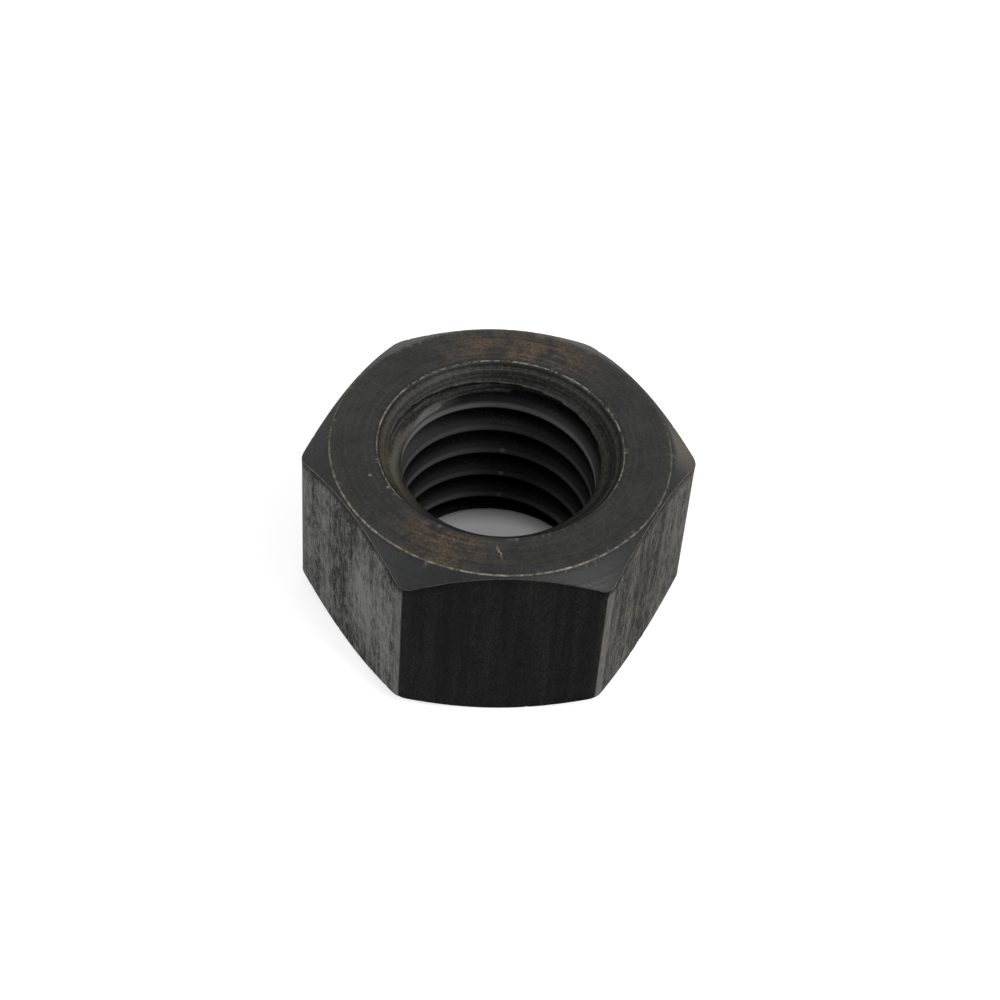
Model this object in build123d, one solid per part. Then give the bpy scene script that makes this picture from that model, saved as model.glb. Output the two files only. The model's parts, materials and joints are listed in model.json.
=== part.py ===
from build123d import *
from build123d.topology.shape_core import SkipClean
import math
import os

# Hexagon nut, M12 x 1.75, right-hand thread. Millimetres, +Z up.
# The nut stands on its lower face: the origin is on the thread's axis, level with that face.
# One corner of the hexagon points along +X, and one flat faces -Y.

# The hexagon
ACROSS_FLATS = 18.0          # spanner size
HEIGHT = 10.5                # lower face to upper face
CORNER_RADIUS = 0.84         # the drawn bar's rounded corners

# Each end is turned to a shallow cone, which leaves a round face a little inside the flats.
TOP_FACE_INSET = 0.15
TOP_CHAMFER_ANGLE = 37.0     # degrees from the face
LOWER_FACE_INSET = 0.25
LOWER_CHAMFER_ANGLE = 32.0   # degrees from the face

# The thread, on the 60 degree metric profile
THREAD_DIAMETER = 12.0       # major diameter
THREAD_PITCH = 1.75
THREAD_DEPTH = 0.9           # from the major diameter in to the drilled wall, on each side
ROOT_CLEARANCE = 0.03        # how far the groove's root lies outside the major diameter
FLANK_ANGLE = 30.0           # degrees from a plane across the axis
THREAD_START = -48.0         # degrees from +X where the groove's middle crosses the lower face

# The mouths of the hole
COUNTERSINK_MARGIN = 0.4     # how far the upper mouth reaches outside the major diameter
COUNTERSINK_ANGLE = 90.0     # included
LOWER_MOUTH_BREAK = 0.3      # how far the lower mouth reaches outside the drilled wall
LOWER_MOUTH_ANGLE = 90.0     # included

ARCS = 4                     # arcs to a turn, in which the hole's wall and the groove are made


def tan(degrees):
    return math.tan(math.radians(degrees))


def section_face(*points):
    """A face in the plane of X and Z, from its corners."""
    return Plane.XZ * make_face(Polyline(*points, close=True))


def hexagon_bar():
    """The length of hexagon bar, with its rounded corners."""
    section = RegularPolygon(radius=ACROSS_FLATS / 2, side_count=6, major_radius=False)
    section = fillet(section.vertices(), CORNER_RADIUS)
    return extrude(section, HEIGHT)


def turned_envelope():
    """The round, double-coned shape that the bar is turned down to at its ends."""
    sharp_corner = ACROSS_FLATS / math.sqrt(3)
    top_radius = ACROSS_FLATS / 2 - TOP_FACE_INSET
    lower_radius = ACROSS_FLATS / 2 - LOWER_FACE_INSET
    top_drop = (sharp_corner - top_radius) * tan(TOP_CHAMFER_ANGLE)
    lower_rise = (sharp_corner - lower_radius) * tan(LOWER_CHAMFER_ANGLE)
    section = section_face(
        (0, 0),
        (lower_radius, 0),
        (sharp_corner, lower_rise),
        (sharp_corner, HEIGHT - top_drop),
        (top_radius, HEIGHT),
        (0, HEIGHT),
    )
    return revolve(section, Axis.Z)


def hole_arcs():
    """The drilled hole with its two mouths, as arcs side by side."""
    wall = THREAD_DIAMETER / 2 - THREAD_DEPTH
    countersink = THREAD_DIAMETER / 2 + COUNTERSINK_MARGIN
    lower_mouth = wall + LOWER_MOUTH_BREAK
    section = section_face(
        (0, 0),
        (lower_mouth, 0),
        (wall, LOWER_MOUTH_BREAK / tan(LOWER_MOUTH_ANGLE / 2)),
        (wall, HEIGHT - (countersink - wall) / tan(COUNTERSINK_ANGLE / 2)),
        (countersink, HEIGHT),
        (0, HEIGHT),
    )
    arc = revolve(section, Axis.Z, 360 / ARCS)
    return [Rot(Z=360 / ARCS * number) * arc for number in range(ARCS)]


def groove_arcs():
    """The groove that the tap cuts: a V with a flat root, wound up the hole past both ends."""
    sharp_height = THREAD_PITCH / 2 / tan(FLANK_ANGLE)
    pitch_radius = THREAD_DIAMETER / 2 - sharp_height * 3 / 8
    root = THREAD_DIAMETER / 2 + ROOT_CLEARANCE
    # The cutter's inner side lies in the open hole, halfway to where its turns would meet.
    wall = THREAD_DIAMETER / 2 - THREAD_DEPTH
    turns_meet = pitch_radius - sharp_height / 2
    inner = (wall + turns_meet) / 2

    def half_width(radius):
        return THREAD_PITCH / 4 + (pitch_radius - radius) * tan(FLANK_ANGLE)

    section = section_face(
        (inner, -half_width(inner)),
        (root, -half_width(root)),
        (root, half_width(root)),
        (inner, half_width(inner)),
    )
    rise = THREAD_PITCH / ARCS
    arc = sweep(section, Helix(THREAD_PITCH, rise, pitch_radius), is_frenet=True)
    # One whole turn starts below the lower face, and one ends above the upper face.
    last = math.ceil(HEIGHT / rise) + ARCS
    steps = range(-ARCS, last)
    return [Pos(Z=rise * step) * Rot(Z=THREAD_START + 360 / ARCS * step) * arc for step in steps]


def nut_body():
    """The whole nut, with the arcs of the thread's crest left as separate faces."""
    blank = (hexagon_bar() & turned_envelope()).solid()
    with SkipClean():
        return blank.cut(*hole_arcs()).cut(*groove_arcs()).solid()


os.makedirs("parts", exist_ok=True)
export_step(nut_body(), "parts/nut_body.step")
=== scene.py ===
import json
import math

import bpy
import numpy as np
from mathutils import Matrix, Vector


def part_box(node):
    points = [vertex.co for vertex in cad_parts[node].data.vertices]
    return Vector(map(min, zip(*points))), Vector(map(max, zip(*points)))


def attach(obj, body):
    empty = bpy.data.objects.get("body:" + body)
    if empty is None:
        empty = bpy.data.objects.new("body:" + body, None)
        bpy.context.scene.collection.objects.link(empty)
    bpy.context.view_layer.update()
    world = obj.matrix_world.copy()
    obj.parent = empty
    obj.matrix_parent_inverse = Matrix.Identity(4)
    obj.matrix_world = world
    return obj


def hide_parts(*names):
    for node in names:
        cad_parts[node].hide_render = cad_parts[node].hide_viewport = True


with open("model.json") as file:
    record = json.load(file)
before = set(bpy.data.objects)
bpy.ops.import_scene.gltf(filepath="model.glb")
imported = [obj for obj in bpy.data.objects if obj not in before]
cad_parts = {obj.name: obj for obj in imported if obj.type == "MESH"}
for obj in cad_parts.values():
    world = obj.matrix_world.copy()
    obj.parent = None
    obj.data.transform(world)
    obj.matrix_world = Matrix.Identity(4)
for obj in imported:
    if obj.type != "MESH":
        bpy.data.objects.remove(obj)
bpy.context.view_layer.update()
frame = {"record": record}

# The nut, in millimetres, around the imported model: overall sizes come from the frame,
# and the rest repeats the construction's own dimensions.
MM = 0.001
NODE = "nut_body"
LOW, HIGH = (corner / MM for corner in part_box(NODE))
THREAD = next(m for m in frame["record"]["mounts"] if m["name"] == "thread")

HEIGHT = HIGH.z - LOW.z
ACROSS_FLATS = HIGH.y - LOW.y
CORNER_RADIUS = 0.84
TOP_RADIUS = ACROSS_FLATS / 2 - 0.15
TOP_SLOPE = math.tan(math.radians(37))
LOWER_RADIUS = ACROSS_FLATS / 2 - 0.25
LOWER_SLOPE = math.tan(math.radians(32))

WALL_RADIUS = THREAD["dims"]["r_mm"]
MAJOR_RADIUS = 6.0
ROOT_RADIUS = MAJOR_RADIUS + 0.03
PITCH = 1.75
PITCH_RADIUS = MAJOR_RADIUS - PITCH * math.sqrt(3) / 2 * 3 / 8
FLANK = math.tan(math.radians(30))
THREAD_START = math.radians(-48)
COUNTERSINK_RADIUS = MAJOR_RADIUS + 0.4
COUNTERSINK_SLOPE = math.tan(math.radians(45))
CONE_END = HEIGHT - (COUNTERSINK_RADIUS - WALL_RADIUS) / COUNTERSINK_SLOPE
MOUTH_RADIUS = WALL_RADIUS + 0.3
LIP = 0.22               # how far the countersink's torn edge hangs over the groove

# Heights in the hole between which its rows follow the thread. The countersink's level rows
# start CONE_START below the rim, and a thread row within SNAP of an end stops there.
THREAD_TOP = CONE_END - 0.1
THREAD_BOTTOM = 0.45
CONE_START = 0.1
SNAP = 0.012

# Dents in the edges, and the lines of the drawn sides
NICK_DEPTH = 0.03
NICK_SIZE = 0.12
RIPPLE = 0.012

# Zones of the surface. The numbers rise outward, up and inward, and the rounding between one
# zone and the next lies between their numbers.
LOWER_FACE = 0
LOWER_CHAMFER = 1
SIDE = 2
TOP_CHAMFER = 3
TOP_FACE = 4
CONE = 6
THREADS = 7

# How far each of the six sides has rubbed grey, from the one that faces 30 degrees round. The
# amounts are also painted light: the sides differ as light falls on them, and the front side is
# kept black.
RUBBED_AND_PAINTED_LIGHT = np.array([0.7, 0.5, 0.8, 1.0, 0.02, 0.78])

# Linear colours
DARK_SCALE = (0.001, 0.001, 0.001, 1)
DUSTY_SCALE = (0.019, 0.019, 0.0182, 1)
PALE_SCALE = (0.200, 0.200, 0.195, 1)
BROWN_SCALE = (0.170, 0.150, 0.115, 1)
DARK_TURNED = (0.002, 0.0019, 0.0018, 1)
PALE_TURNED = (0.026, 0.0254, 0.0238, 1)
DARK_CHAMFER = (0.003, 0.0032, 0.0037, 1)
PALE_CHAMFER = (0.010, 0.0107, 0.0118, 1)
DARK_CONE = (0.003, 0.003, 0.0028, 1)
PALE_CONE = (0.090, 0.089, 0.082, 1)
OLIVE = (0.075, 0.065, 0.036, 1)
BROWN_CHAMFER = (0.115, 0.093, 0.072, 1)
GROOVE = (0.0012, 0.0012, 0.0012, 1)
# The crest's rubbed grey, which also carries a painted highlight and painted light.
CREST_WEAR_AND_HIGHLIGHT = (0.180, 0.181, 0.184, 1)
RUST_DARK = (0.030, 0.019, 0.011, 1)
RUST_PALE = (0.125, 0.078, 0.042, 1)
FLECK = (0.16, 0.15, 0.13, 1)
# Also the colour of the painted glints and of the painted highlight along the edges.
BARE_STEEL_AND_GLINT = (0.34, 0.32, 0.25, 1)
FLOOR_GAP = 0.02
FLOOR_COLOUR = (0.80, 0.80, 0.80, 1)

# How glossy each finish is
TURNED_GLOSS = 0.28
DRAWN_GLOSS = 0.08
THREAD_GLOSS = 0.01

# Light
SKY_LIGHT = 0.45
GLOW = 0.60
# The floor's glow under the hole is dimmed as painted shade.
HOLE_GLOW_PAINTED_SHADE = 0.13

# The camera's focal length and the width of its picture, in millimetres
LENS = 84.564
SENSOR = 36

RNG = np.random.default_rng(12)


# Mesh: rows run round the nut's section, from the lower mouth outward, up the sides, over the
# top and down the hole. Columns run round the axis.

def column_angles():
    """Angles round the axis, closer together at the six corners."""
    near = np.radians(np.linspace(-4, 4, 21))[:-1]
    far = np.radians(np.linspace(4, 56, 75))[:-1]
    sector = np.concatenate([near, far])
    return np.concatenate([sector + math.radians(60 * k) for k in range(6)])


def hexagon_radius(angle):
    """Distance from the axis to the side of the rounded hexagon."""
    off = np.abs((angle + math.pi / 6) % (math.pi / 3) - math.pi / 6)
    centre = (ACROSS_FLATS / 2 - CORNER_RADIUS) * 2 / math.sqrt(3)
    tangent = math.atan2(CORNER_RADIUS / 2, centre + CORNER_RADIUS * math.sqrt(3) / 2)
    flat = ACROSS_FLATS / 2 / np.cos(math.pi / 6 - off)
    inside = np.maximum(CORNER_RADIUS ** 2 - (centre * np.sin(off)) ** 2, 0)
    corner = centre * np.cos(off) + np.sqrt(inside)
    return np.where(off < tangent, corner, flat)


def thread_radius(angle, z):
    """Radius of the tapped wall, with its crests' and roots' edges a little rounded."""
    middle = (angle - THREAD_START) * PITCH / (2 * math.pi)
    off = np.abs((z - middle + PITCH / 2) % PITCH - PITCH / 2)
    flank = PITCH_RADIUS + (PITCH / 4 - off) / FLANK
    return soft_max(WALL_RADIUS, soft_min(ROOT_RADIUS, flank, 0.05), 0.04)


def soft_max(a, b, blend):
    share = np.clip(0.5 + (b - a) / (2 * blend), 0, 1)
    return a * (1 - share) + b * share + blend * share * (1 - share)


def soft_min(a, b, blend):
    return -soft_max(-a, -b, blend)


def hole_radius(angle, z):
    """Radius of the hole: the widest of the two mouths and the thread. A thin lip, turned down
    by the countersink, hangs over the first turn of the groove."""
    thread = thread_radius(angle, z)
    cone = np.maximum(COUNTERSINK_RADIUS - (HEIGHT - z) * COUNTERSINK_SLOPE, WALL_RADIUS)
    open_below_lip = np.clip((thread - cone - LIP) / 0.04, 0, 1)
    upper = cone + np.maximum(thread - cone, 0) * open_below_lip
    return np.maximum(upper, MOUTH_RADIUS - z)


def rounded_corner(before, corner, after, radius):
    """Where the rounding of a corner starts, the corner itself, and where the rounding ends."""
    back, on = before - corner, after - corner
    back_length, on_length = (np.linalg.norm(v, axis=-1, keepdims=True) for v in (back, on))
    back, on = back / back_length, on / on_length
    cosine = np.clip(-(back * on).sum(-1, keepdims=True), -1, 1)
    cut = radius * np.tan(np.arccos(cosine) / 2)
    cut = np.minimum(cut, 0.4 * np.minimum(back_length, on_length))
    return corner + back * cut, corner, corner + on * cut


def rounded_rows(corners, steps):
    """Rows of points along an outline: corners are (r, z, rounding radius), one array each, and
    steps the number of intervals along each straight. Each rounding takes three intervals."""
    rows, kinds = [], []
    points = [np.stack(np.broadcast_arrays(r, z), -1).astype(float) for r, z, _ in corners]
    cuts = []
    for k in range(1, len(points) - 1):
        cuts.append(rounded_corner(points[k - 1], points[k], points[k + 1], corners[k][2]))
    start = points[0]
    for k, count in enumerate(steps):
        end = cuts[k][0] if k < len(cuts) else points[-1]
        for s in range(count):
            rows.append(start + (end - start) * s / count)
            kinds.append(k)
        if k < len(cuts):
            a, b, c = cuts[k]
            for s in range(3):
                t = s / 3
                rows.append(a * (1 - t) ** 2 + 2 * b * t * (1 - t) + c * t * t)
                kinds.append(k + (0.4 if s == 0 else 0.6))
            start = c
    rows.append(points[-1])
    kinds.append(len(steps) - 1)
    return rows, kinds


def outline_rows(angle):
    """Rows from the lower mouth outward, up the sides, over the top and onto the countersink."""
    side = hexagon_radius(angle)
    level = 0 * angle
    low_edge = (side - LOWER_RADIUS) * LOWER_SLOPE
    top_edge = HEIGHT - (side - TOP_RADIUS) * TOP_SLOPE
    cone = COUNTERSINK_RADIUS - CONE_START * COUNTERSINK_SLOPE
    corners = [
        (MOUTH_RADIUS, level, 0),
        (LOWER_RADIUS, level, 0.12),
        (side, low_edge, 0.10),
        (side, top_edge, 0.08),
        (TOP_RADIUS, level + HEIGHT, 0.22),
        (COUNTERSINK_RADIUS, level + HEIGHT, 0.30),
        (cone, level + HEIGHT - CONE_START, 0),
    ]
    return rounded_rows(corners, [6, 4, 16, 4, 10, 1])


def level_rows(angle, heights):
    """Level rows of points down the hole."""
    return [np.stack([hole_radius(angle, z), 0 * angle + z], -1) for z in heights]


def thread_rows(angle):
    """Rows that follow the thread, from above the hole's straight part to below it."""
    half = np.array([0.12, 0.29, 0.45, 0.57, 0.625, 0.69])
    pitch = np.concatenate([[PITCH / 2], half[::-1], [0], -half])
    rise = (angle - THREAD_START) * PITCH / (2 * math.pi)
    rows = []
    for turn in range(math.ceil(HEIGHT / PITCH) + 1, -3, -1):
        for offset in pitch:
            z = offset + PITCH * turn + rise
            rows.append(np.stack([hole_radius(angle, z), z], -1))
    return rows, len(pitch)


def quads(grid):
    """Faces between neighbouring rows of a grid of point numbers, without folded ones."""
    a, b = grid[:-1, :-1].ravel(), grid[:-1, 1:].ravel()
    d, c = grid[1:, :-1].ravel(), grid[1:, 1:].ravel()
    faces = []
    for face in zip(a.tolist(), b.tolist(), c.tolist(), d.tolist()):
        face = list(dict.fromkeys(face))
        if len(face) > 2:
            faces.append(face)
    return faces


def closed(grid):
    return np.column_stack([grid, grid[:, :1]])


def nut_grid():
    """Points (mm), faces, and the zone and angle of every point of the whole nut."""
    angle = column_angles()
    outline, zones = outline_rows(angle)
    upper = level_rows(angle, np.linspace(HEIGHT - CONE_START, THREAD_TOP, 34)[1:])
    thread, per_turn = thread_rows(angle)
    lower = level_rows(angle, np.linspace(THREAD_BOTTOM, 0, 11)[:-1])
    rows = np.array(outline + upper + thread + lower)
    zones = zones + [CONE] * len(upper) + [THREADS] * (len(thread) + len(lower))
    index = np.arange(rows.shape[0] * rows.shape[1]).reshape(rows.shape[:2])
    first = len(outline) + len(upper)
    last = first + len(thread)
    # The thread's rows stop at the level rows above and below them.
    z = rows[first:last, :, 1]
    helix = np.where(z > THREAD_TOP - SNAP, index[first - 1], index[first:last])
    helix = np.where(z < THREAD_BOTTOM + SNAP, index[last], helix)
    top_seam = np.repeat(helix[:1, :1], per_turn, axis=0)
    seam = np.concatenate([top_seam, helix[:-per_turn, :1]])
    faces = quads(closed(index[:first]))
    faces += quads(np.column_stack([helix, seam]))
    faces += quads(closed(np.concatenate([index[last:], index[:1]])))
    radius = rows[..., 0]
    points = np.stack([radius * np.cos(angle), radius * np.sin(angle), rows[..., 1]], -1)
    zone = np.repeat(zones, len(angle)).reshape(index.shape)
    around = np.broadcast_to(angle, index.shape)
    return points.reshape(-1, 3), faces, zone.ravel(), around.ravel()


def drop_unused(points, faces, *values):
    """Leaves out the points that no face uses."""
    used = np.unique(np.concatenate([np.array(face) for face in faces]))
    renumber = np.full(len(points), -1)
    renumber[used] = np.arange(len(used))
    faces = [[int(renumber[p]) for p in face] for face in faces]
    return points[used], faces, [value[used] for value in values]


def edge_rows(zone, before):
    """1 on the two middle rows of the rounded edge after a zone, 0 elsewhere. Each rounding has
    three rows, and its first one belongs to the face before it."""
    return (zone == before + 0.6).astype(float)


def nicks(points, edge, count):
    """Small dents beaten into an edge: how deep each point goes."""
    places = points[RNG.choice(np.flatnonzero(edge > 0), count)]
    dent = np.zeros(len(points))
    for place in places:
        size = NICK_SIZE * RNG.uniform(0.5, 1.4)
        off = np.linalg.norm(points - place, axis=1) / size
        depth = NICK_DEPTH * RNG.uniform(0.3, 1)
        dent = np.maximum(dent, depth * np.clip(1 - off ** 2, 0, 1) ** 2)
    return dent


def smooth_noise(count, width):
    """Random values round a closed ring, smoothed over a number of neighbours."""
    values = np.fft.rfft(RNG.normal(size=count))
    values *= np.exp(-(np.arange(len(values)) * width / count) ** 2 * 8)
    values = np.fft.irfft(values, count)
    return values / np.abs(values).max()


def drawn_ripple(points, angle, zone):
    """Shallow lines along the drawn bar's sides, as depths."""
    columns = len(column_angles())
    at = np.searchsorted(column_angles() - 1e-6, angle) - 1
    fine = smooth_noise(columns, 1.5)
    broad = smooth_noise(columns, 12)
    depth = RIPPLE * (1 + fine[at] * 0.6 + broad[at])
    return np.where(zone == SIDE, np.maximum(depth, 0), 0)


def crest_wear_and_highlight_mask(points, angle, zone):
    """1 along the lower edge of the thread's crest, fading up to the flank above it: rubbed wear
    with a painted highlight on the lower edge. How it fades down the hole and round it, and the
    flank brightened at the upper left, are painted light."""
    middle = (angle - THREAD_START) * PITCH / (2 * math.pi)
    height = (points[:, 2] - middle) % PITCH
    crest = np.interp(height, [0.56, 0.72, 0.88, 1.08, 1.25, 1.4], [0, 1, 0.85, 0.4, 0.1, 0])
    flank = np.interp(height, [1.1, 1.3, 1.6], [0, 0.5, 0])
    inside = (zone == THREADS) | ((zone == CONE) & (points[:, 2] < CONE_END))
    # Painted light: the crest is brightest near the top and bottom of the hole and at the back
    # left, and the flank is brightened at the upper left.
    depth = np.interp(points[:, 2], [1.4, 3.1, 4.9, 6.6, 8.4], [0.9, 0.5, 0.52, 0.42, 1.0])
    degrees = np.degrees(angle)
    around = np.interp(degrees, [40, 70, 90, 108, 150, 200], [1.0, 0.6, 0.6, 0.95, 1.2, 1.0])
    left = np.maximum(np.cos(angle - math.radians(150)), 0) ** 8
    left = left * np.interp(points[:, 2], [6.0, 8.5], [0, 1])
    # Painted shade: the first turn's crest is darkened under the countersink, at the back and the
    # right.
    painted_shade_under_rim = np.interp(points[:, 2], [8.5, 8.95], [0, 0.8])
    painted_shade_under_rim = painted_shade_under_rim * np.interp(degrees, [40, 60, 110, 135], [0.4, 1, 1, 0])
    return (crest * around + flank * left) * depth * inside * (1 - painted_shade_under_rim)


def lip_highlight_mask(points, angle, zone):
    """Painted highlight: 1 along the lip that the countersink leaves over the groove, most on the
    left.
    """
    cone = COUNTERSINK_RADIUS - (HEIGHT - points[:, 2]) * COUNTERSINK_SLOPE
    over = thread_radius(angle, points[:, 2]) - np.maximum(cone, WALL_RADIUS)
    around = 0.6 + 0.4 * np.cos(angle - math.radians(140))
    return np.clip(over / LIP, 0, 1) * (over < LIP + 0.03) * (zone == CONE) * around


def rubbed_and_painted_light_mask(angle, zone):
    """How far each of the sides has rubbed grey, with painted light in how much each side differs.
    """
    sector = np.floor(angle / (math.pi / 3)).astype(int) % 6
    return RUBBED_AND_PAINTED_LIGHT[sector] * (zone == SIDE)


def corner_mask(angle, zone):
    """1 along the six upright corners, as far as the sides beside them are paler, which is rubbed
    wear and painted light.
    """
    sector = np.floor(angle / (math.pi / 3)).astype(int) % 6
    off = np.abs((angle + math.pi / 6) % (math.pi / 3) - math.pi / 6)
    near = np.clip((math.radians(3.8) - off) / math.radians(1.8), 0, 1)
    return near * np.minimum(RUBBED_AND_PAINTED_LIGHT[sector] * 1.3, 1) * (zone == SIDE)


def finish_numbers(faces, zone):
    """Which material each face takes: 0 turned, 1 drawn sides and countersink, 2 thread."""
    middle = np.array([np.mean(zone[face]) for face in faces])
    number = np.zeros(len(faces), np.int32)
    number[(middle > 1.5) & (middle < 2.3)] = 1
    number[middle > 5.3] = 1
    number[middle > 6.4] = 2
    return number


def wear(points, angle, zone, edges):
    """Depth of the dents and drawn lines at each point, and how far the dents are worn bright."""
    dents = nicks(points, edges["edge_outer"], 60)
    dents = np.maximum(dents, nicks(points, edges["edge_rim"], 40))
    worn = dents / NICK_DEPTH
    dents = np.maximum(dents, nicks(points, edges["edge_side"], 60))
    return dents + drawn_ripple(points, angle, zone), worn


def surface_masks(points, angle, zone):
    """What each part of the surface is, from 0 to 1 at each point, for the material to read."""
    return {
        "side": (zone == SIDE).astype(float),
        "chamfer": ((zone == LOWER_CHAMFER) | (zone == TOP_CHAMFER)).astype(float),
        "face": ((zone == LOWER_FACE) | (zone == TOP_FACE)).astype(float),
        "cone": (zone == CONE).astype(float),
        "threads": (zone == THREADS).astype(float),
        # rubbed wear with a painted highlight and painted light
        "crest": crest_wear_and_highlight_mask(points, angle, zone),
        # painted highlight along the countersink's lip
        "lip": lip_highlight_mask(points, angle, zone),
        # rubbed wear, with painted light in how much each side differs
        "rubbed": rubbed_and_painted_light_mask(angle, zone),
        "corner": corner_mask(angle, zone),
    }


def build_nut():
    points, faces, zone, angle = nut_grid()
    points, faces, (zone, angle) = drop_unused(points, faces, zone, angle)
    mesh = bpy.data.meshes.new("nut")
    mesh.from_pydata((points * MM).tolist(), [], faces)
    mesh.shade_smooth()
    normals = np.zeros(len(points) * 3)
    mesh.vertex_normals.foreach_get("vector", normals)
    edges = {
        "edge_outer": edge_rows(zone, TOP_CHAMFER),
        "edge_rim": edge_rows(zone, TOP_FACE),
        "edge_side": np.maximum(edge_rows(zone, LOWER_CHAMFER), edge_rows(zone, SIDE)),
    }
    depth, worn = wear(points, angle, zone, edges)
    points = points - normals.reshape(-1, 3) * depth[:, None]
    mesh.vertices.foreach_set("co", (points * MM).ravel())
    masks = {**edges, "nick": worn, **surface_masks(points, angle, zone)}
    for name, values in masks.items():
        attribute = mesh.attributes.new(name, "FLOAT", "POINT")
        attribute.data.foreach_set("value", values.astype(np.float32))
    mesh.polygons.foreach_set("material_index", finish_numbers(faces, zone))
    mesh.update()
    nut = bpy.data.objects.new("nut", mesh)
    bpy.context.collection.objects.link(nut)
    return nut


class Graph:
    """Short names for the shader nodes that the steel needs."""

    def __init__(self, name):
        self.material = bpy.data.materials.new(name)
        self.material.use_nodes = True
        self.nodes = self.material.node_tree.nodes
        self.links = self.material.node_tree.links
        self.shader = self.nodes["Principled BSDF"]
        coordinates = self.nodes.new("ShaderNodeTexCoord").outputs["Object"]
        self.place = self.scaled(coordinates, (1 / MM, 1 / MM, 1 / MM))

    def put(self, socket, value):
        if isinstance(value, bpy.types.NodeSocket):
            self.links.new(value, socket)
        else:
            socket.default_value = value

    def scaled(self, vector, factors):
        node = self.nodes.new("ShaderNodeVectorMath")
        node.operation = "MULTIPLY"
        self.put(node.inputs[0], vector)
        node.inputs[1].default_value = factors
        return node.outputs[0]

    def math(self, operation, *values):
        node = self.nodes.new("ShaderNodeMath")
        node.operation = operation
        for socket, value in zip(node.inputs, values):
            self.put(socket, value)
        return node.outputs[0]

    def times(self, *values):
        result = values[0]
        for value in values[1:]:
            result = self.math("MULTIPLY", result, value)
        return result

    def largest(self, *values):
        result = values[0]
        for value in values[1:]:
            result = self.math("MAXIMUM", result, value)
        return result

    def step(self, value, low, high, start=0.0, end=1.0):
        """Eases from start to end as the value goes from low to high."""
        node = self.nodes.new("ShaderNodeMapRange")
        node.interpolation_type = "SMOOTHSTEP"
        for socket, number in zip(node.inputs, (value, low, high, start, end)):
            self.put(socket, number)
        return node.outputs[0]

    def noise(self, vector, scale, detail=2.0, rough=0.6):
        node = self.nodes.new("ShaderNodeTexNoise")
        self.put(node.inputs["Vector"], vector)
        node.inputs["Scale"].default_value = scale
        node.inputs["Detail"].default_value = detail
        node.inputs["Roughness"].default_value = rough
        return node.outputs["Fac"]

    def mask(self, name):
        node = self.nodes.new("ShaderNodeAttribute")
        node.attribute_name = name
        return node.outputs["Fac"]

    def blend(self, factor, below, above):
        node = self.nodes.new("ShaderNodeMix")
        node.data_type = "RGBA"
        self.put(node.inputs["Factor"], factor)
        colours = [s for s in node.inputs if s.type == "RGBA"]
        self.put(colours[0], below)
        self.put(colours[1], above)
        return next(s for s in node.outputs if s.type == "RGBA")

    def split(self, vector):
        node = self.nodes.new("ShaderNodeSeparateXYZ")
        self.put(node.inputs[0], vector)
        return node.outputs

    def joined(self, x, y, z):
        node = self.nodes.new("ShaderNodeCombineXYZ")
        for socket, value in zip(node.inputs, (x, y, z)):
            self.put(socket, value)
        return node.outputs[0]

    def bump(self, height, distance, strength, normal=None):
        node = self.nodes.new("ShaderNodeBump")
        node.inputs["Distance"].default_value = distance * MM
        node.inputs["Strength"].default_value = strength
        self.put(node.inputs["Height"], height)
        if normal is not None:
            self.put(node.inputs["Normal"], normal)
        return node.outputs[0]


def patch(graph, x, y, z, size):
    """1 at a point of the nut, easing to 0 at a distance of size, in millimetres."""
    node = graph.nodes.new("ShaderNodeVectorMath")
    node.operation = "DISTANCE"
    graph.put(node.inputs[0], graph.place)
    node.inputs[1].default_value = (x, y, z)
    return graph.step(node.outputs["Value"], 0.0, size, 1.0, 0.0)


def scratch(g):
    """A short scratch across the front of the upper face, with a bruise at its outer end."""
    x, y, _ = g.split(g.place)
    across = g.math("ADD", g.times(x, 0.978), g.times(y, 0.207))
    across = g.math("ADD", across, offset(g, g.noise(g.place, 1.6), 0.35))
    off = g.math("ABSOLUTE", g.math("ADD", across, 1.867))
    line = g.times(g.step(off, 0.01, 0.06, 1.0, 0.0), patch(g, -0.35, -7.35, HEIGHT, 0.75), 1.8)
    return g.largest(line, patch(g, -0.25, -7.86, HEIGHT, 0.12))


def steel_textures(g):
    """The noises that every part of the surface draws on, by name."""
    x, y, z = g.split(g.place)
    radius = g.math("SQRT", g.math("ADD", g.times(x, x), g.times(y, y)))
    return {
        "x": x,
        "y": y,
        "lines": g.noise(g.scaled(g.place, (1, 1, 0.05)), 1.1, 4.0, 0.7),
        "streak": g.noise(g.scaled(g.place, (1, 1, 0.28)), 5.0, 4.0, 0.80),
        "ring": g.noise(g.joined(radius, z, 0.0), 5.0, 4.0, 0.75),
        "mottle": g.noise(g.place, 0.9, 4.0, 0.65),
        "patchy": g.noise(g.place, 3.2, 3.0, 0.65),
        "grain": g.noise(g.place, 9.0, 3.0, 0.75),
        "speck": g.noise(g.place, 14.0, 1.0, 0.5),
    }


def offset(g, value, weight):
    """A noise about its own middle, times a weight."""
    return g.times(g.math("SUBTRACT", value, 0.5), weight)


def dark_band(g, t):
    """Where the scale has stayed on down the middle of the left front side."""
    along = g.math("ADD", g.times(t["x"], -0.5), g.times(t["y"], 0.866))
    off = g.math("ABSOLUTE", along)
    return g.times(g.step(off, 0.4, 1.3, 1.0, 0.0), g.step(t["x"], -5.5, -5.0, 1.0, 0.0),
                   g.step(t["y"], -0.5, 0.0, 1.0, 0.0))


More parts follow.
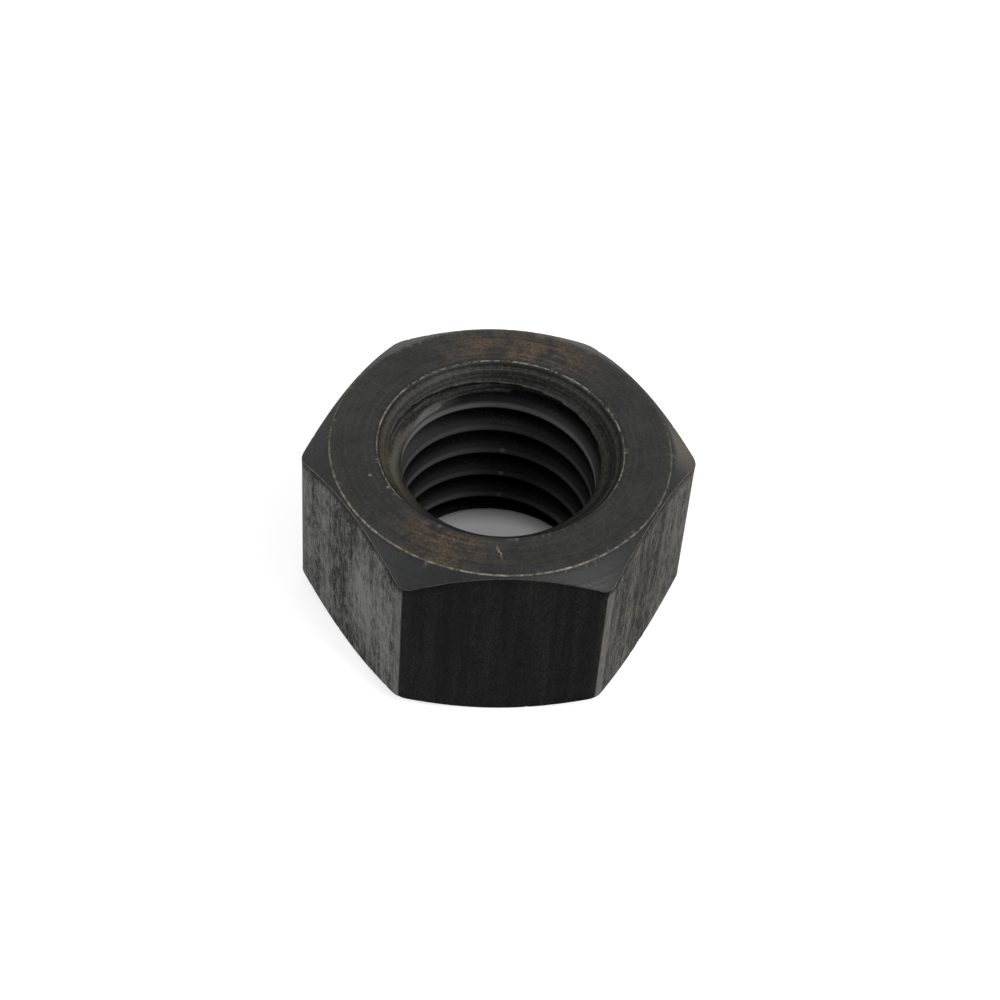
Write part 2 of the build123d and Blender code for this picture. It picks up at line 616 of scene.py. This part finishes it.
def side_tone(g, t):
    """Black scale, rubbed grey in short streaks and patches along the drawn bar. How far each side
    greys is partly painted light.
    """
    scale = g.math("ADD", t["streak"], offset(g, t["lines"], 0.9))
    scale = g.math("ADD", scale, offset(g, t["mottle"], 0.6))
    scale = g.math("ADD", scale, offset(g, t["grain"], 0.9))
    scale = g.math("SUBTRACT", scale, g.times(dark_band(g, t), 0.08))
    scale = g.math("ADD", scale, g.times(patch(g, -6.4, -7.0, 5.0, 5.0), 0.16))
    right = patch(g, 8.0, -4.6, 6.0, 8.0)
    scale = g.math("SUBTRACT", scale, g.times(right, 0.05))
    # The rubbed amount per side is partly painted light, which keeps the front side black.
    rubbed = g.times(g.step(scale, 0.20, 0.86), g.mask("rubbed"))
    corner = g.times(g.mask("corner"), g.step(t["streak"], 0.25, 0.7, 0.35, 0.85))
    dust = g.math("ADD", t["grain"], offset(g, t["lines"], 0.5))
    black = g.blend(g.step(dust, 0.45, 0.78), DARK_SCALE, DUSTY_SCALE)
    brown = g.times(right, g.step(t["mottle"], 0.30, 0.55))
    pale = g.blend(brown, PALE_SCALE, BROWN_SCALE)
    return g.blend(g.largest(rubbed, corner), black, pale)


def turned_tone(g, t):
    """The faces, chamfers and countersink, with the tool's rings and a fine grain. The countersink
    also has a painted highlight along its lip and painted light on its back left.
    """
    shade = g.math("ADD", t["grain"], offset(g, t["ring"], 0.55))
    shade = g.math("ADD", shade, offset(g, t["mottle"], 0.6))
    face = g.blend(g.step(shade, 0.25, 0.75), DARK_TURNED, PALE_TURNED)
    chamfer = g.blend(g.step(shade, 0.25, 0.75), DARK_CHAMFER, PALE_CHAMFER)
    face = g.blend(g.mask("chamfer"), face, chamfer)
    marks = g.math("ADD", t["ring"], offset(g, t["streak"], 0.4))
    # Painted light on the countersink: a painted highlight along the lip, and a paler back left.
    left = patch(g, -5.0, 3.5, 10.2, 6.5)
    marks = g.math("ADD", marks, g.times(g.mask("lip"), 0.26))
    marks = g.math("ADD", marks, g.times(left, 0.10))
    cone = g.blend(g.step(marks, 0.42, 0.84), DARK_CONE, PALE_CONE)
    tone = g.blend(g.mask("cone"), face, cone)
    olive = g.times(patch(g, -5.6, -0.8, 9.9, 4.5), g.mask("cone"), g.step(t["mottle"], 0.3, 0.6))
    tone = g.blend(g.times(olive, 0.7), tone, OLIVE)
    brown = g.times(patch(g, 9.5, 0.6, HEIGHT - 0.5, 2.6), g.mask("chamfer"))
    return g.blend(g.times(brown, 0.8), tone, BROWN_CHAMFER)


def rust_bloom(g, t, tone):
    """Brown in two places on the upper face."""
    areas = g.largest(
        patch(g, 2.4, 7.1, HEIGHT, 4.0),
        g.times(patch(g, -0.6, 7.3, HEIGHT, 3.4), 0.8),
        patch(g, -3.0, -6.3, HEIGHT, 3.4),
    )
    streaked = g.math("ADD", t["mottle"], offset(g, t["ring"], 0.7))
    broken = g.step(streaked, 0.34, 0.62)
    bloom = g.times(areas, broken, g.mask("face"))
    rust = g.blend(g.step(t["grain"], 0.35, 0.65), RUST_DARK, RUST_PALE)
    return g.blend(bloom, tone, rust)


def bare_steel_and_glints(g, t):
    """Where the blackening has rubbed off: the edges, and small dents along them. The bright lines
    along the outer edge and the rim are also painted highlight, and three spots on the thread's
    crests are painted glints.
    """
    # Painted highlight as well as wear: the outer edge is brightest at the front and less on the
    # right, and the rim at the back, where they face the camera.
    front = g.step(t["y"], 3.0, -7.0, 0.4, 1.0)
    outer = g.times(g.mask("edge_outer"), g.step(t["patchy"], 0.30, 0.72, 0.10, 1.0), front)
    grainy = g.step(t["grain"], 0.38, 0.58, 0.65, 1.0)
    outer = g.times(outer, grainy, g.step(t["x"], 3.0, 7.0, 1.0, 0.65))
    rim = g.times(g.mask("edge_rim"), g.step(t["patchy"], 0.36, 0.66), 0.8)
    rim = g.times(rim, g.step(t["y"], -4.6, -2.5, 0.08, 1.0))
    long_edges = g.times(g.mask("edge_side"), g.step(t["patchy"], 0.30, 0.65, 0.3, 1.0))
    long_edges = g.times(long_edges, g.step(t["y"], -8.95, -8.6, 0.15, 0.5))
    marks = g.times(g.mask("nick"), 0.35)
    bare_and_glints = g.largest(outer, rim, long_edges, marks)
    # Painted glints: three spots in a line down the crests at the back of the hole.
    for z in (5.02, 3.21, 1.49):
        bare_and_glints = g.largest(bare_and_glints, g.times(patch(g, 0.60, 5.08, z, 0.22), 0.5))
    for x, y in ((-6.75, -2.15), (-5.84, -2.97)):
        bare_and_glints = g.largest(bare_and_glints, g.times(patch(g, x, y, HEIGHT, 0.14), 0.6))
    bare_and_glints = g.largest(bare_and_glints, g.times(scratch(g), g.step(t["grain"], 0.35, 0.6), 0.35))
    return g.math("MINIMUM", bare_and_glints, 1.0)


def flecked(g, t, tone):
    """A few pale flecks of dust and rubbed scale."""
    spots = g.step(t["speck"], 0.64, 0.74)
    places = g.step(t["mottle"], 0.45, 0.6, 0.1, 0.5)
    flecks = g.times(spots, places)
    return g.blend(g.times(flecks, 0.5), tone, FLECK)


def roughness(g, t, turned):
    """Rougher in the streaks of the scale, and smoother where the steel was turned."""
    rough_side = g.step(t["streak"], 0.3, 0.7, 0.56, 0.42)
    rough_turned = g.step(t["ring"], 0.3, 0.7, 0.48, 0.36)
    rough_side = g.times(rough_side, g.math("SUBTRACT", 1.0, turned))
    rough = g.math("ADD", rough_side, g.times(rough_turned, turned))
    return g.math("ADD", rough, offset(g, t["grain"], 0.15))


def relief(g, t, turned):
    """The streaks of the scale, the tool's rings and the grain, too fine for the mesh."""
    normal = g.bump(g.times(t["streak"], g.mask("side")), 0.06, 1.0)
    normal = g.bump(g.times(t["ring"], turned), 0.012, 1.0, normal)
    return g.bump(t["grain"], 0.012, 1.0, normal)


def blackened_steel(name, gloss):
    """Steel with a black oxide. The drawn sides and the thread are duller than what was turned."""
    g = Graph(name)
    t = steel_textures(g)
    turned = g.largest(g.mask("face"), g.mask("chamfer"), g.mask("cone"))
    tone = g.blend(turned, side_tone(g, t), turned_tone(g, t))

    # The thread: black and grimy in the groove; pale along the crest, which is rubbed wear with a
    # painted highlight and painted light.
    tone = g.blend(g.mask("threads"), tone, GROOVE)
    tone = g.blend(g.mask("crest"), tone, CREST_WEAR_AND_HIGHLIGHT)
    tone = rust_bloom(g, t, tone)
    tone = flecked(g, t, tone)
    bare_and_glints = bare_steel_and_glints(g, t)
    tone = g.blend(bare_and_glints, tone, BARE_STEEL_AND_GLINT)

    g.put(g.shader.inputs["Base Color"], tone)
    g.put(g.shader.inputs["Metallic"], g.times(bare_and_glints, 0.85))
    g.put(g.shader.inputs["Roughness"], roughness(g, t, turned))
    g.put(g.shader.inputs["Normal"], relief(g, t, turned))
    g.shader.inputs["Specular IOR Level"].default_value = gloss
    return g.material


def floor_material():
    g = Graph("floor")
    tree = g.material.node_tree
    tree.nodes.remove(g.shader)
    diffuse = tree.nodes.new("ShaderNodeBsdfDiffuse")
    diffuse.inputs["Color"].default_value = FLOOR_COLOUR
    glow = tree.nodes.new("ShaderNodeEmission")
    light_path = tree.nodes.new("ShaderNodeLightPath")
    x, y, _ = g.split(g.place)
    radius = g.math("SQRT", g.math("ADD", g.times(x, x), g.times(y, y)))
    # Painted shade: the floor's glow is dimmed under the hole, and darkest next to the hole's
    # wall.
    hole_glow_painted_shade = g.step(radius, WALL_RADIUS - 1.1, WALL_RADIUS + 0.3, HOLE_GLOW_PAINTED_SHADE, 0.0)
    outside = g.step(radius, WALL_RADIUS + 1.0, WALL_RADIUS + 2.5, 0.0, GLOW)
    seen = g.times(light_path.outputs["Is Camera Ray"], g.math("ADD", hole_glow_painted_shade, outside))
    g.put(glow.inputs["Strength"], seen)
    both = tree.nodes.new("ShaderNodeAddShader")
    tree.links.new(diffuse.outputs[0], both.inputs[0])
    tree.links.new(glow.outputs[0], both.inputs[1])
    output = tree.nodes["Material Output"]
    tree.links.new(both.outputs[0], output.inputs["Surface"])
    return g.material


def build_floor():
    mesh = bpy.data.meshes.new("floor")
    reach = 1.5
    corners = [(-reach, -reach, 0), (reach, -reach, 0), (reach, reach, 0), (-reach, reach, 0)]
    mesh.from_pydata(corners, [], [(0, 1, 2, 3)])
    mesh.materials.append(floor_material())
    floor = bpy.data.objects.new("floor", mesh)
    bpy.context.collection.objects.link(floor)
    floor.location.z = (LOW.z - FLOOR_GAP) * MM
    return floor


def build_world():
    """White to the camera and in reflections, and a plainer white as a light."""
    world = bpy.data.worlds.new("studio")
    world.use_nodes = True
    bpy.context.scene.world = world
    nodes, links = world.node_tree.nodes, world.node_tree.links
    background = nodes["Background"]
    background.inputs["Color"].default_value = (1, 1, 1, 1)
    light_path = nodes.new("ShaderNodeLightPath")
    seen = nodes.new("ShaderNodeMath")
    seen.operation = "MAXIMUM"
    links.new(light_path.outputs["Is Camera Ray"], seen.inputs[0])
    links.new(light_path.outputs["Is Glossy Ray"], seen.inputs[1])
    strength = nodes.new("ShaderNodeMapRange")
    links.new(seen.outputs[0], strength.inputs["Value"])
    strength.inputs["To Min"].default_value = SKY_LIGHT
    strength.inputs["To Max"].default_value = 1.0
    links.new(strength.outputs[0], background.inputs["Strength"])


def softbox(name, azimuth, elevation, size, level):
    """A square lamp half a metre from the nut. Level 1 alone would light a white surface that
    faces it to white."""
    distance = 0.5
    a, e = math.radians(azimuth), math.radians(elevation)
    towards = Vector((math.sin(a) * math.cos(e), -math.cos(a) * math.cos(e), math.sin(e)))
    lamp = bpy.data.lights.new(name, "AREA")
    lamp.size = size
    lamp.energy = level * (math.pi * distance) ** 2
    holder = bpy.data.objects.new(name, lamp)
    holder.location = towards * distance + Vector((0, 0, HEIGHT / 2 * MM))
    holder.rotation_euler = towards.to_track_quat("Z", "Y").to_euler()
    bpy.context.collection.objects.link(holder)


def build_camera():
    """The photograph's camera: where it looks from, and where the nut lies in its frame."""
    azimuth, elevation, roll = (math.radians(v) for v in (-5.637, 46.857, 4.722))
    distance, across, along = 128.92, 0.546, 4.383
    back = Vector((
        math.sin(azimuth) * math.cos(elevation),
        -math.cos(azimuth) * math.cos(elevation),
        math.sin(elevation),
    ))
    level = Vector((math.cos(azimuth), math.sin(azimuth), 0))
    upright = back.cross(level)
    right = level * math.cos(roll) + upright * math.sin(roll)
    up = upright * math.cos(roll) - level * math.sin(roll)
    place = right * across + up * along + back * distance
    data = bpy.data.cameras.new("camera")
    data.lens = LENS
    data.sensor_width = SENSOR
    data.clip_start = 0.01
    camera = bpy.data.objects.new("camera", data)
    turn = Matrix((right, up, back)).transposed().to_4x4()
    camera.matrix_world = Matrix.Translation(place * MM) @ turn
    bpy.context.collection.objects.link(camera)
    bpy.context.scene.camera = camera


nut = build_nut()
nut.data.materials.append(blackened_steel("blackened_steel_turned", TURNED_GLOSS))
nut.data.materials.append(blackened_steel("blackened_steel_drawn", DRAWN_GLOSS))
nut.data.materials.append(blackened_steel("blackened_steel_thread", THREAD_GLOSS))
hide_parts(NODE)
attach(nut, "root")
build_floor()
build_world()
softbox("key", azimuth=50, elevation=38, size=0.22, level=0.55)
softbox("fill", azimuth=-75, elevation=32, size=0.30, level=0.25)
build_camera()
bpy.context.scene.view_settings.view_transform = "Standard"
